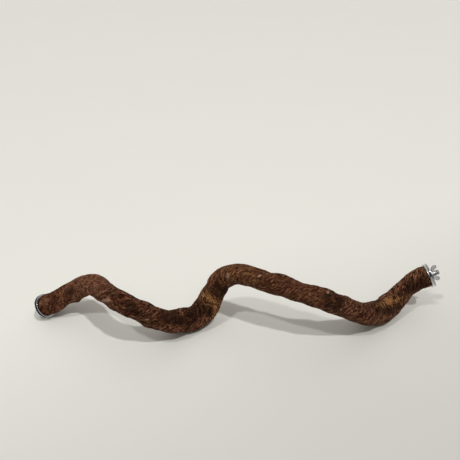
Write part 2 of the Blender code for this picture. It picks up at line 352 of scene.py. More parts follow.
# The camera's place in metres, its dip in degrees, its lens and sensor in millimetres.
CAMERA_PLACE = (-0.0075, -0.384, 0.380)
CAMERA_DIP = 33.5
CAMERA_LENS = 36.0
CAMERA_SENSOR = 36.0
CAMERA_CLIP = 0.01
# Where the light of each sun comes from, and the degrees that it looks wide.
KEY_TOWARDS = (0.344, -0.27, 1.0)
KEY_WIDTH = 3.0
FILL_TOWARDS = (-0.455, -0.264, 1.0)
FILL_WIDTH = 3.5
SUN_COLOR = (1.0, 0.995, 0.975)
SKY_COLOR = (1.0, 0.965, 0.90)


def unit(vectors):
    """Vectors of length one."""
    return vectors / np.linalg.norm(vectors, axis=-1, keepdims=True)


def ease(values, low, high):
    """From 0 at low to 1 at high along 3t²-2t³."""
    t = np.clip((values - low) / (high - low), 0.0, 1.0)
    return t * t * (3 - 2 * t)


def spline_through(points, count):
    """Points at equal distances along a natural cubic spline, its direction and the distances."""
    points = np.array(points)
    steps = np.linalg.norm(np.diff(points, axis=0), axis=1)
    knots = np.concatenate([[0.0], np.cumsum(steps)])
    slopes = np.diff(points, axis=0) / steps[:, None]
    matrix = np.eye(len(points))
    right = np.zeros_like(points)
    for i in range(1, len(points) - 1):
        matrix[i, i - 1:i + 2] = steps[i - 1], 2 * (steps[i - 1] + steps[i]), steps[i]
        right[i] = 6 * (slopes[i] - slopes[i - 1])
    bend = np.linalg.solve(matrix, right)

    def place(t):
        i = np.clip(np.searchsorted(knots, t, side="right") - 1, 0, len(steps) - 1)
        h = steps[i][:, None]
        a = (knots[i + 1] - t)[:, None] / h
        b = 1 - a
        bow = ((a**3 - a) * bend[i] + (b**3 - b) * bend[i + 1]) * h * h / 6
        return a * points[i] + b * points[i + 1] + bow

    fine = np.linspace(0.0, knots[-1], 40 * len(points))
    fine_steps = np.linalg.norm(np.diff(place(fine), axis=0), axis=1)
    fine_distance = np.concatenate([[0.0], np.cumsum(fine_steps)])
    distance = np.linspace(0.0, fine_distance[-1], count)
    t = np.interp(distance, fine_distance, fine)
    nudge = 0.01
    ahead = place(np.minimum(t + nudge, knots[-1]))
    behind = place(np.maximum(t - nudge, 0.0))
    return place(t), unit(ahead - behind), distance


def wander(points, seed):
    """Smooth random values from -1 to 1.

    Every corner of a cubic lattice holds a random value, and a point blends the eight corners
    of its cell by 3t²-2t³ of its place in the cell.
    """
    size = 48
    lattice = np.random.default_rng(seed).uniform(-1.0, 1.0, (size, size, size))
    cell = np.floor(points)
    t = points - cell
    t = t * t * (3 - 2 * t)
    low = cell.astype(int) % size
    high = (low + 1) % size
    total = 0.0
    for corner in np.ndindex(2, 2, 2):
        x, y, z = (np.where(c, high[..., k], low[..., k]) for k, c in enumerate(corner))
        shares = [t[..., k] if c else 1 - t[..., k] for k, c in enumerate(corner)]
        total = total + lattice[x, y, z] * shares[0] * shares[1] * shares[2]
    return total


def add_surface(name, grid, loop_rows=False, poles=False):
    """A mesh object over a grid of points in millimetres whose columns run round a closed loop.

    The rows may close on themselves too, or end in a pole at the middle of the first and last.
    """
    rows, columns = grid.shape[:2]
    points = grid.reshape(-1, 3)
    i = np.arange(rows if loop_rows else rows - 1)[:, None]
    j = np.arange(columns)[None, :]
    over = (i + 1) % rows
    beside = (j + 1) % columns
    corners = (
        i * columns + j, i * columns + beside, over * columns + beside, over * columns + j
    )
    faces = np.stack(corners, axis=-1).reshape(-1, 4).tolist()
    if poles:
        ends = np.stack([grid[0].mean(axis=0), grid[-1].mean(axis=0)])
        points = np.concatenate([points, ends])
        first, last = rows * columns, rows * columns + 1
        ring = np.arange(columns)
        start = (rows - 1) * columns
        fan = np.stack([np.full(columns, first), np.roll(ring, -1), ring], axis=-1)
        back = np.stack([np.full(columns, last), start + ring, start + np.roll(ring, -1)], axis=-1)
        faces += fan.tolist() + back.tolist()
    mesh = bpy.data.meshes.new(name)
    mesh.from_pydata((points * MM).tolist(), [], faces)
    mesh.shade_smooth()
    item = bpy.data.objects.new(name, mesh)
    bpy.context.scene.collection.objects.link(item)
    return item


def store(item, name, values):
    """Keep one number or one vector a vertex on the mesh under a name."""
    kind, field = ("FLOAT_VECTOR", "vector") if values.ndim == 2 else ("FLOAT", "value")
    layer = item.data.attributes.new(name, kind, "POINT")
    layer.data.foreach_set(field, values.astype(np.float32).ravel())


def dress(item, material, body, slot, *nodes):
    """Give a finished piece its material, the body it moves with and the solids it stands for."""
    item.data.materials.clear()
    item.data.materials.append(material)
    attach(item, body)
    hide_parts(*nodes)


def end_frame(side):
    """Middle of a cut end in millimetres, and three directions: level, slanting up, and out."""
    joint = next(j for j in frame["joints"] if j["name"] == side + "_nut_turn")
    out = unit(np.array(joint["axis"]))
    level = unit(np.cross(UP, out))
    return np.array(joint["pos_m"]) / MM, level, np.cross(out, level), out


def seat(node, side):
    """Height of a solid's foot over the cut end, along the stud."""
    middle, _, _, out = end_frame(side)
    mesh = frame["nodes"][node].data
    points = np.zeros(len(mesh.vertices) * 3)
    mesh.vertices.foreach_get("co", points)
    return ((points.reshape(-1, 3) / MM - middle) @ out).min()


def stand(points, side, height, degrees=0.0):
    """Points worked out about Z, turned and stood on a cut end's axis at a height."""
    middle, level, slant, out = end_frame(side)
    c, s = math.cos(math.radians(degrees)), math.sin(math.radians(degrees))
    x = c * points[..., :1] - s * points[..., 1:2]
    y = s * points[..., :1] + c * points[..., 1:2]
    return middle + x * level + y * slant + (points[..., 2:] + height) * out


def stem_relief(distance, angle, length):
    """Large forms of the bark: wound ridges, slow lumps and round knots.

    Ridges and lumps are cosines of so many waves round the stem and along it. A knot falls off
    as exp(-(g / r)²), with r its radius and g the gap to its middle on the unrolled bark.
    """
    relief = np.zeros(np.broadcast(distance, angle).shape)
    along = distance / length
    for count, turns, height, phase in RIDGES:
        relief += height * np.cos(count * angle + 2 * np.pi * turns * along + phase)
    random = np.random.default_rng(LUMP_SEED)
    for _ in range(LUMP_COUNT):
        around = random.integers(0, LUMP_AROUND)
        waves = random.uniform(*LUMP_WAVES)
        phase = random.uniform(0.0, 2 * np.pi)
        relief += LUMP_HEIGHT * np.cos(around * angle + 2 * np.pi * waves * along + phase)
    for place, degrees, height, radius in KNOTS:
        turn = (angle - math.radians(degrees) + np.pi) % (2 * np.pi) - np.pi
        squared = (distance - place) ** 2 + (turn * STEM_RADIUS) ** 2
        relief += height * np.exp(-squared / radius**2)
    return relief


def fibre_angle(distance, angle, pitch):
    """Angle that stays the same along one fibre, which winds once round in a pitch and sways.

    It is the angle round the stem plus a full turn for each pitch of distance, plus sine waves.
    """
    sway = 0.0
    for height, length, around, phase in FIBRE_SWAYS:
        sway = sway + height * np.sin(distance / length + around * angle + phase)
    return angle + 2 * np.pi * distance / pitch + sway


def marks(places, distance, angle):
    """Sum of soft marks on the unrolled bark.

    Each falls off as exp(-(g / w)²), with w its half width and g the gap to the straight line
    between its two ends, distance being one way and angle times radius the other.
    """
    total = np.zeros(np.broadcast(distance, angle).shape)
    for start, start_degrees, end, end_degrees, half_width, strength in places:
        turn = (angle - math.radians(start_degrees) + np.pi) % (2 * np.pi) - np.pi
        along, across = distance - start, turn * STEM_RADIUS
        reach = end - start
        rise = math.radians(end_degrees - start_degrees) * STEM_RADIUS
        share = np.clip((along * reach + across * rise) / (reach**2 + rise**2), 0.0, 1.0)
        squared = (along - share * reach) ** 2 + (across - share * rise) ** 2
        total += strength * np.exp(-squared / half_width**2)
    return total


def stray_marks(kind):
    """Marks scattered over the far side along the fibres, with random sizes and strengths."""
    random = np.random.default_rng(STRAY_SEED + kind)
    draws = [random.uniform(low, high, STRAY_MARKS) for low, high in STRAY_RANGES]
    start, degrees, reach, half_width, strength = draws
    slanted = degrees - STRAY_SLANT * reach
    return tuple(zip(start, degrees, start + reach, slanted, half_width, strength))


def bark_detail(distance, angle, tangent, outward, look):
    """Fine relief of the bark in millimetres, and the layers that its finish reads.

    Strands, shreds and crumbs are smooth random values, the first two drawn out along the
    fibres. Furrows lie where such a value crosses zero, flakes and pores where one passes a
    threshold. Wrinkles are waves across the stem on the inner side of its bends, and pits and
    scars are soft patches.
    """
    pitch = look.fibre_pitch / MM
    wound = fibre_angle(distance, angle, pitch)
    along = distance + 0 * angle
    grain = np.stack([STEM_RADIUS * np.cos(wound), STEM_RADIUS * np.sin(wound), along], axis=-1)
    cells = {}
    for name, (across, lengthwise, seed) in BARK_CELLS.items():
        cells[name] = wander(grain / (across, across, lengthwise), seed)
    strands, shreds, crumbs = cells["strands"], cells["shreds"], cells["crumbs"]
    open_bark = ease(cells["open_bark"], -0.35, 0.35)
    furrow = np.exp(-((cells["crossing"] / FURROW_WIDTH) ** 2)) * open_bark
    flake = ease(cells["flakes"], -0.02, 0.12)
    pores = ease(cells["pores"], 0.40, 0.70)
    turning = np.gradient(tangent, axis=0) / np.gradient(distance[:, 0])[:, None]
    inner = np.clip(STEM_RADIUS * (turning[:, None] * outward).sum(axis=-1), 0.0, 0.5)
    waves = np.sin(2 * np.pi * (along + WRINKLE_SWAY * cells["wrinkles"]) / WRINKLE_PITCH)
    # One of the dark marks is partly painted shade under the stem.
    dark = marks(DARK_AND_SHADE_MARKS + stray_marks(0), distance, angle)
    pale = marks(GOLD_MARKS + stray_marks(1), distance, angle)
    # One of the scars is a painted highlight.
    scar_and_highlight = marks(SCARS_AND_HIGHLIGHT, distance, angle)
    pit = marks(PITS, distance, angle)
    splinter = ease(pale, 0.9, 1.4)
    ridge = look.ridge_height / MM
    relief = ridge * (0.4 * strands + 0.6 * shreds + 0.9 * crumbs + 0.4 * (flake - 0.5))
    relief += ridge * splinter * (1.2 * shreds + 0.8 * strands + 0.6)
    relief -= look.furrow_depth / MM * furrow + PORE_DEPTH * pores
    sunk = DARK_DEPTH * np.minimum(dark, 1.0) * (0.6 + 0.4 * strands)
    relief += WRINKLE_HEIGHT * inner * waves - sunk
    relief += SCAR_HEIGHT * scar_and_highlight - PIT_DEPTH * pit
    layers = {
        "grain": grain,
        # Painted shade: how far the furrows, pores and pits are darkened.
        "painted_hollow_shade": np.clip(0.55 * furrow + 0.6 * pores - 0.3 * crumbs + pit, 0.0, 1.5),
        "strand": 0.5 * strands + 0.5 * shreds,
        "contrast": np.interp(along, *np.transpose(CONTRASTS)),
        "dark": dark,
        "pale": pale,
        "scar_and_highlight": scar_and_highlight,
        "shade": np.interp(along, *np.transpose(TONES)),
    }
    return relief, layers


def stem_surface(look):
    """Grid of the whole stem, closed over its cut faces and bores, and its layers.

    A ring of bark lies round the middle line at the stem's radius plus its relief, and stays
    inside the solids' box. Near a cut end the rings slide along the stem into the plane of the
    face. From the rim the grid runs in over the face and down the bore.
    """
    heart, tangent, distance = spline_through(STEM_ROUTE, STEM_ROWS)
    heart = heart + (end_frame("left")[0] - heart[0])[2] * UP
    top = unit(UP - (tangent @ UP)[:, None] * tangent)
    front = np.cross(tangent, top)
    angle = np.linspace(0.0, 2 * np.pi, STEM_COLUMNS, endpoint=False)[None, :]
    length = distance[-1]
    distance = distance[:, None]
    radius = np.full_like(distance, STEM_RADIUS)
    for place, half_length, extra in SWELLINGS:
        radius = radius + extra * np.exp(-(((distance - place) / half_length) ** 2))
    outward = np.cos(angle)[..., None] * top[:, None] + np.sin(angle)[..., None] * front[:, None]
    fine, layers = bark_detail(distance, angle, tangent, outward, look)
    from_end = np.minimum(distance, length - distance)
    fine = fine - RIM_EASE * np.exp(-from_end / RIM_EASE)
    radius = radius + stem_relief(distance, angle, length) + fine
    rings = heart[:, None] + radius[..., None] * outward
    for side, end, way in (("left", 0, -1), ("right", -1, 1)):
        normal = end_frame(side)[3]
        outwards = way * tangent[end]
        past_plane = (rings - heart[:, None]) @ normal / (outwards @ normal)
        share = np.clip(1 - np.abs(distance - distance[end]) / CUT_REACH, 0.0, 1.0)
        rings = rings - (share * past_plane)[..., None] * outwards
    low, high = np.array(CAD_BOX) / MM
    rings[..., 1:] = np.clip(rings[..., 1:], low[1:], high[1:])
    left = end_rows("left", rings[0])
    right = end_rows("right", rings[-1])
    grid = np.concatenate([left[::-1], rings, right])
    rows = len(left)
    for name, values in layers.items():
        first = np.repeat(values[:1], rows, axis=0)
        last = np.repeat(values[-1:], rows, axis=0)
        layers[name] = np.concatenate([first, values, last])
    layers["sawn"] = np.ones((len(grid), STEM_COLUMNS))
    layers["sawn"][rows:-rows] = 0.0
    return grid, layers


def end_rows(side, rim):
    """Rows from the rim in over a cut face to its bore, and down the bore's wall.

    Over the face a row is the blend of the rim and the bore's circle, a little under the face's
    plane, less the upper halves of a sine wave across the face for the saw's marks. Down the
    bore it is the circle, stepped back along the stud.
    """
    middle, level, _, out = end_frame(side)
    away = rim - middle
    spoke = unit(away - (away @ out)[:, None] * out)
    circle = middle + BORE_RADIUS * spoke
    shares = np.array(FACE_SHARES)[:, None, None]
    face = rim + shares * (circle - rim)
    saw = SAW_HEIGHT * np.sin((face @ level) * SAW_WAVES)[..., None]
    face = face - (FACE_HOLLOW * shares + np.maximum(saw, 0.0) * (shares < 1.0)) * out
    bore = circle - np.array(BORE_DEPTHS)[:, None, None] * out
    inwards = BORE_DEPTH * out
    floor = middle + BORE_FLOOR_SHARE * (bore[-1:] - middle + inwards) - inwards
    return np.concatenate([face, bore, floor])


def stud_surface(thread_depth):
    """Grid of a stud about Z: a point and plain shank in the wood, then a right-hand thread.

    The thread's radius goes from crest to root along a flattened triangle wave of 2 pi times
    height over pitch, less the angle, so that a crest winds up one pitch a turn.
    """
    core = STUD_RADIUS - thread_depth / 2
    rows = round(STUD_OUT * THREAD_ROWS_PER_PITCH / THREAD_PITCH)
    height = np.concatenate([STUD_ROWS_IN, np.linspace(0.0, STUD_OUT, rows)])[:, None]
    angle = np.linspace(0.0, 2 * np.pi, STUD_COLUMNS, endpoint=False)[None, :]
    wave = np.arcsin(np.cos(2 * np.pi * height / THREAD_PITCH - angle)) * 2 / np.pi
    thread = core + thread_depth / 2 * np.clip(THREAD_STEEPNESS * wave, -1.0, THREAD_CREST)
    radius = np.where(height > 0, thread, core)
    radius = np.minimum(radius, STUD_RADIUS - STUD_CHAMFER + STUD_OUT - height)
    radius = np.where(height <= -STUD_IN, STUD_POINT_RADIUS, radius)
    grid = np.stack([radius * np.cos(angle), radius * np.sin(angle), height + 0 * angle], axis=-1)
    tip = np.stack([grid[-1] * (0.9, 0.9, 1.0), grid[-1] * (0.5, 0.5, 1.0)])
    return np.concatenate([grid, tip])


def rounded_profile(corners, steps):
    """A closed profile whose corners of (radius, height, rounding) are rounded off.

    With t from 0 to 1, an arc is (1-t)² of its start, 2t(1-t) of the corner and t² of its end,
    where start and end lie the rounding away from the corner on its two sides.
    """
    points = []
    count = len(corners)
    for i in range(count):
        here = np.array(corners[i][:2])
        size = corners[i][2]
        to_last = unit(np.array(corners[i - 1][:2]) - here)
        to_next = unit(np.array(corners[(i + 1) % count][:2]) - here)
        t = np.linspace(0.0, 1.0, steps)[:, None]
        start = here + size * to_last
        end = here + size * to_next
        points.append((1 - t) ** 2 * start + 2 * t * (1 - t) * here + t * t * end)
    return np.concatenate(points)


def revolve(profile, columns):
    """Grid of a profile of (radius, height) carried round Z by the radius's cosine and sine."""
    angle = np.linspace(0.0, 2 * np.pi, columns, endpoint=False)[None, :]
    radius, height = profile[:, :1], profile[:, 1:]
    return np.stack([radius * np.cos(angle), radius * np.sin(angle), height + 0 * angle], axis=-1)


def washer_surface(edge):
    """Grid of a punched washer about Z: one face's edges rolled over, the other's sharper.

    Its profile is a rectangle with rounded corners, whose long sides have a point in the middle.
    """
    corners = (
        (WASHER_RADIUS, 0.0, 0.7 * edge),
        (WASHER_RADIUS, WASHER_THICKNESS, edge),
        (WASHER_MIDDLE_RADIUS, WASHER_THICKNESS, FLAT_CORNER),
        (BORE_RADIUS, WASHER_THICKNESS, edge),
        (BORE_RADIUS, 0.0, 0.4 * edge),
        (WASHER_MIDDLE_RADIUS, 0.0, FLAT_CORNER),
    )
    return revolve(rounded_profile(corners, PROFILE_STEPS), WASHER_COLUMNS)


def wing_surface(thickness, way):
    """Grid of one wing: its outline shrunk towards its middle while the thickness rounds off.

    With t from -80 to 80 degrees across the edge, the outline is scaled by cos(t) to the power
    0.25 and stands out of the wing's plane by sin(t) to the power 0.4 of half its thickness,
    which falls by a quarter towards the tip.
    """
    centre = np.array([WING_REACH - WING_TIP_RADIUS, WING_HEIGHT - WING_TIP_RADIUS])
    turn = np.radians(np.linspace(*WING_TIP_ARC, WING_TIP_POINTS))
    tip = centre + WING_TIP_RADIUS * np.stack([np.cos(turn), np.sin(turn)], axis=-1)
    outline = np.concatenate([WING_FOOT, tip, WING_BACK, WING_FOOT[:1]])
    outline = spline_through(np.pad(outline, ((0, 0), (0, 1))), WING_POINTS + 1)[0][:-1, :2]
    t = np.radians(np.linspace(-80.0, 80.0, WING_ROWS))[:, None]
    share = np.cos(t) ** 0.25
    x = WING_MIDDLE[0] + share * (outline[None, :, 0] - WING_MIDDLE[0])
    z = WING_MIDDLE[1] + share * (outline[None, :, 1] - WING_MIDDLE[1])
    slim = 1.0 - WING_TAPER * np.clip((x - WING_TAPER_START) / WING_TAPER_LENGTH, 0.0, 1.0)
    y = thickness / 2 * slim * np.sign(t) * np.abs(np.sin(t)) ** 0.4
    return np.stack([way * x, way * y, z], axis=-1)


def wing_nut(name, look):
    """A cast wing nut about Z as a mesh object in millimetres, its wings blended into its hub.

    The hub is a rounded profile carried round Z. Hub and wings are filled with small cells and
    skinned as one, and the skin is smoothed.
    """
    hub = (
        (NUT_BASE_RADIUS, 0.0, 0.25),
        (NUT_BASE_RADIUS, NUT_COLLAR, 0.35),
        (NUT_TOP_RADIUS, NUT_HEIGHT, 0.5),
        (BORE_RADIUS, NUT_HEIGHT, 0.3),
        (BORE_RADIUS, 0.0, 0.3),
    )
    grid = revolve(rounded_profile(hub, PROFILE_STEPS), NUT_COLUMNS) / MM
    parts = [add_surface(name, grid, loop_rows=True)]
    for way in (1, -1):
        grid = wing_surface(look.wing_thickness / MM, way) / MM
        parts.append(add_surface(name + "_wing", grid, poles=True))
    nut = parts[0]
    with bpy.context.temp_override(active_object=nut, selected_editable_objects=parts):
        bpy.ops.object.join()
    cast = nut.modifiers.new("cast", "REMESH")
    cast.mode = "VOXEL"
    cast.voxel_size = CAST_CELL
    soften = nut.modifiers.new("soften", "SMOOTH")
    soften.factor = 0.5
    soften.iterations = CAST_SOFTENING
    graph = bpy.context.evaluated_depsgraph_get()
    nut.data = bpy.data.meshes.new_from_object(nut.evaluated_get(graph))
    nut.modifiers.clear()
    return nut


class Socket:
    """A shader socket that stands in a sum; each operator adds one Math node."""

    def __init__(self, finish, socket):
        self.finish = finish
        self.socket = socket

    def math(self, operation, first, second=0.0):
        """The result of a Math node."""
        return self.finish.add("Math", {"operation": operation}, {0: first, 1: second})

    def __add__(self, other):
        return self.math("ADD", self, other)

    def __radd__(self, other):
        return self.math("ADD", other, self)

    def __sub__(self, other):
        return self.math("SUBTRACT", self, other)

    def __rsub__(self, other):
        return self.math("SUBTRACT", other, self)

    def __mul__(self, other):
        return self.math("MULTIPLY", self, other)

    def __rmul__(self, other):
        return self.math("MULTIPLY", other, self)


class Finish:
    """One node tree, for a material or for the world."""

    def __init__(self, owner):
        owner.use_nodes = True
        self.tree = owner.node_tree
        self.tree.nodes.clear()

    def add(self, kind, settings=None, inputs=None, output=0):
        """One node of a kind: its settings first, then the value or link of each socket."""
        node = self.tree.nodes.new("ShaderNode" + kind)
        for name, value in (settings or {}).items():
            if name == "stops":
                elements = node.color_ramp.elements
                for place, _ in value[1:-1]:
                    elements.new(place)
                for element, (place, color) in zip(elements, value):
                    element.position = place
                    element.color = color
            else:
                setattr(node, name, value)
        for key, value in (inputs or {}).items():
            if isinstance(value, Socket):
                self.tree.links.new(value.socket, node.inputs[key])
            else:
                node.inputs[key].default_value = value
        return Socket(self, node.outputs[output]) if node.outputs else node

    def layer(self, name, output="Fac"):
        """A number or a vector kept on the mesh."""
        return self.add("Attribute", {"attribute_name": name}, output=output)

    def place(self):
        """The place on the piece, in metres."""
        return self.add("TexCoord", output="Object")

    def part(self, vector, index):
        """One of a vector's three numbers."""
        return self.add("SeparateXYZ", None, {0: vector}, output=index)

    def scaled(self, vector, factors):
        """A vector with each axis scaled by its own factor."""
        return self.add("VectorMath", {"operation": "MULTIPLY"}, {0: vector, 1: factors})

    def fitted(self, grain, across, along):
        """The fibres' own coordinates, scaled to a pattern's size across and along them."""
        return self.scaled(grain, (across, across, along))

    def noise(self, vector, detail=2.0, roughness=0.5):
        """A cloudy number from 0 to 1 that changes over about one unit of the vector."""
        inputs = {"Vector": vector, "Scale": 1.0, "Detail": detail, "Roughness": roughness}
        return self.add("TexNoise", None, inputs)

    def moved(self, vector, factors, reach):
        """A vector pushed about by a cloudy vector, so that what is laid on it gets ragged."""
        inputs = {"Vector": self.scaled(vector, factors), "Scale": 1.0, "Detail": 3.0}
        push = self.add("TexNoise", None, inputs, output=1)
        push = self.add("VectorMath", {"operation": "SUBTRACT"}, {0: push, 1: (0.5, 0.5, 0.5)})
        push = self.scaled(push, (reach, reach, reach))
        return self.add("VectorMath", {"operation": "ADD"}, {0: vector, 1: push})

    def flakes(self, vector):
        """Cells about one unit across: a number that each cell keeps, and the way to its edge."""
        inputs = {"Vector": vector, "Scale": 1.0, "Randomness": 1.0}
        tint = self.add("TexVoronoi", {"feature": "F1"}, inputs, output="Color")
        edge = self.add("TexVoronoi", {"feature": "DISTANCE_TO_EDGE"}, inputs, output="Distance")
        return self.part(tint, 0), edge

    def step(self, value, low, high):
        """From 0 below low to 1 above high, along a smooth curve."""
        inputs = {"Value": value, "From Min": low, "From Max": high}
        return self.add("MapRange", {"interpolation_type": "SMOOTHSTEP"}, inputs)

    def blend(self, share, first, second):
        """Two colours mixed by a share."""
        settings = {"data_type": "RGBA", "blend_type": "MIX", "clamp_factor": True}
        return self.add("Mix", settings, {0: share, 6: first, 7: second}, output=2)

    def close(self, inputs, height, bump_distance, bump_strength):
        """The Principled shader with a bump by a height, wired to the output."""
        bump = {"Strength": bump_strength, "Distance": bump_distance, "Height": height}
        normal = self.add("Bump", None, bump)
        surface = self.add("BsdfPrincipled", None, {**inputs, "Normal": normal})
        self.add("OutputMaterial", None, {"Surface": surface})


def tinted(color, shares):
    """A colour with its alpha, its red, green and blue each scaled by a share."""
    return (color[0] * shares[0], color[1] * shares[1], color[2] * shares[2], 1.0)


def solid(color, share=1.0):
    """A colour with its alpha, made darker or lighter by a share."""
    return tinted(color, (share, share, share))


def bark_material(look):
    """Wound fibres from dark to worn brown, golden inner wood, dark patches (one partly painted
    shade under the stem), painted shade in the furrows, pores and pits, and pale scars (one a
    painted highlight).
    """
    material = bpy.data.materials.new("bark")
    f = Finish(material)
    grain = f.layer("grain", "Vector")
    painted_hollow_shade, strand, shade = f.layer("painted_hollow_shade"), f.layer("strand"), f.layer("shade")
    contrast = f.layer("contrast")
    dark, pale, scar_and_highlight, sawn = f.layer("dark"), f.layer("pale"), f.layer("scar_and_highlight"), f.layer("sawn")

    # Patterns: large and small flakes, then cloudy numbers about 0, from fine to coarse.
    bent = f.moved(grain, (0.45, 0.45, 0.34), 3.0)
    plates, plate_edge = f.flakes(f.fitted(bent, 0.36, 0.20))
    chips, chip_edge = f.flakes(f.fitted(bent, 0.74, 0.44))
    hairs = f.noise(f.fitted(grain, 0.85, 0.32), 3.0, 0.65) - 0.5
    specks = f.noise(f.fitted(grain, 0.60, 0.50), 4.0, 0.75) - 0.5
    clumps = f.noise(f.fitted(grain, 0.21, 0.17), 3.0, 0.6) - 0.5
    cloud = f.noise(f.fitted(grain, 0.07, 0.05), 2.0, 0.5) - 0.5
    gap = 1.0 - 0.5 * f.step(plate_edge, 0.01, 0.10) - 0.5 * f.step(chip_edge, 0.01, 0.12)

    # Tone from 0, nearly black, to 1, the lightest fibre.
    grit = 0.20 * (plates - 0.5) + 0.66 * (chips - 0.5) + 0.35 * hairs + 1.9 * specks
    tone = 0.655 + contrast * grit
    tone = tone + 0.4 * clumps + 0.3 * cloud + shade + 0.06 * strand
    tone = tone + 0.12 * f.step(pale, 0.5, 1.5)
    tone = tone - 0.24 * contrast * gap
    browns = [(place, tinted(look.bark_color, shares)) for place, shares in BARK_TONES]
    color = f.add("ValToRGB", {"stops": browns}, {"Fac": tone})

    # Places worn to the golden wood, with lighter splinters in them.
    golds = [(place, solid(look.wood_color, share)) for place, share in WOOD_TONES]
    gold = f.add("ValToRGB", {"stops": golds}, {"Fac": tone})
    worn = 1.0 + 0.9 * cloud + 1.0 * (plates - 0.5) + 1.7 * (chips - 0.5) + 2.0 * specks
    bare = f.step(pale * worn, 0.15, 0.95)
    color = f.blend(bare * 0.8, color, gold)
    splinter = f.step(pale + 2.6 * hairs + 1.4 * (chips - 0.5) - 0.6 * gap, 0.95, 1.30)
    color = f.blend(splinter * 0.85, color, solid(look.wood_color, 2.3))

    # Dark patches with ragged rims, one of them partly painted shade under the stem; furrows, pores
    # and pits darkened as painted shade; pale scars, one of them a painted highlight; and the sawn
    # ends with their rings.
    # The dark patches include one that is partly painted shade under the stem.
    soot_and_shade = dark + 1.4 * (chips - 0.5) + 1.1 * (plates - 0.5) + 1.4 * specks + 0.6 * clumps
    soot_and_shade = f.step(soot_and_shade - 0.8 * splinter, 0.50, 1.05)
    color = f.blend(soot_and_shade * 0.80, color, solid(look.dark_color))
    # Painted shade darkens the furrows, pores and pits.
    color = f.blend(f.step(painted_hollow_shade, 0.2, 1.2) * 0.75, color, solid(look.dark_color))
    # Pale scars, and one painted highlight.
    color = f.blend(f.step(scar_and_highlight + 0.9 * specks, 0.32, 0.80) * 0.85, color, solid(look.scar_color))
    rings = f.add("TexWave", {"wave_type": "RINGS", "rings_direction": "X"},
                  {"Vector": f.place(), "Scale": 320.0, "Distortion": 3.0, "Detail": 3.0})
    end_wood = f.blend(rings, solid(look.wood_color, 0.8), solid(look.wood_color, 1.5))
    color = f.blend(sawn, color, end_wood)

    roughness = 0.88 - 0.16 * f.step(tone, 0.5, 0.9) + 0.10 * soot_and_shade
    height = 0.5 * hairs + 0.7 * specks + 0.25 * plates + 0.25 * chips - 0.7 * gap
    inputs = {"Base Color": color, "Roughness": roughness, "Specular IOR Level": 0.08}
    f.close(inputs, height, bump_distance=0.0009, bump_strength=1.0)
    return material


def zinc_material(look):
    """Bright plated steel, slightly clouded, with fine scratches, made once for all fittings."""
    made = bpy.data.materials.get(ZINC_NAME)
    if made:
        return made
    material = bpy.data.materials.new(ZINC_NAME)
    f = Finish(material)
    place = f.place()
    cloud = f.noise(f.scaled(place, (180.0, 180.0, 180.0)), 4.0, 0.6)
    grit = f.noise(f.scaled(place, (1900.0, 1900.0, 1900.0)), 2.0, 0.5)
    scratches = f.noise(f.scaled(place, (2600.0, 300.0, 500.0)), 3.0, 0.7)
    dull, bright = solid(look.zinc_color, 0.80), solid(look.zinc_color, 1.08)
    color = f.blend(f.step(cloud, 0.35, 0.68), dull, bright)
    color = f.blend(f.step(grit, 0.62, 0.74) * 0.5, color, solid(look.zinc_color, 0.45))
    roughness = 0.10 + 0.20 * cloud + 0.08 * scratches
    inputs = {"Base Color": color, "Metallic": 1.0, "Roughness": roughness}
    height = scratches * 0.6 + grit * 0.4
    f.close(inputs, height, bump_distance=0.00006, bump_strength=0.5)
    return material


def floor_material(look):
    """A plain pale table top with painted light: lighter towards the far left and darker in front,
    as the light falls off, with the faintest mottling.
    """
    material = bpy.data.materials.new("table_top")
    f = Finish(material)
    place = f.place()
    cloud = f.noise(f.scaled(place, (6.0, 6.0, 6.0)), 3.0, 0.5)
    # Painted light fall-off: the table top's colour runs from darker in front to lighter at the far
    # left.
    painted_falloff = f.step(f.part(place, 1) - 0.45 * f.part(place, 0), -0.30, 0.16)
    near, far = solid(look.floor_color, 0.81), solid(look.floor_color, 1.12)
    color = f.blend(painted_falloff * 0.94 + cloud * 0.06, near, far)
    inputs = {"Base Color": color, "Roughness": 0.42, "Specular IOR Level": 0.5}
    f.close(inputs, cloud, bump_distance=0.0002, bump_strength=0.02)
    return material


def studio_world(look):
    """Soft light from overhead, from the far side and from a pale strip along the horizon."""
    world = bpy.data.worlds.new("studio")
    bpy.context.scene.world = world
    f = Finish(world)
    direction = f.add("TexCoord", output="Generated")
    depth, height = f.part(direction, 1), f.part(direction, 2)
    overhead = f.step(height, 0.45, 0.80)
    raised = 0.10 * f.step(depth, -0.95, -0.25)
    horizon = 1.0 - f.step(height - raised, 0.05, 0.20)
    wall = horizon + f.step(depth, 0.15, 0.75) * f.step(height, 0.34, 0.46) * (1.0 - overhead)
    strength = look.sky_strength * (0.05 + 1.6 * overhead + 1.85 * wall)
    light = f.add("Background", None, {"Color": solid(SKY_COLOR), "Strength": strength})
    f.add("OutputWorld", None, {"Surface": light})


def add_sun(name, strength, towards, degrees):
    """A sun whose light comes from a direction and looks some degrees wide."""
    light = bpy.data.lights.new(name, "SUN")
    light.energy = strength
    light.angle = math.radians(degrees)
    light.color = SUN_COLOR
    lamp = bpy.data.objects.new(name, light)
    x, y, z = towards
    lamp.rotation_euler = (math.atan2(math.hypot(x, y), z), 0.0, math.atan2(x, -y))
    bpy.context.scene.collection.objects.link(lamp)


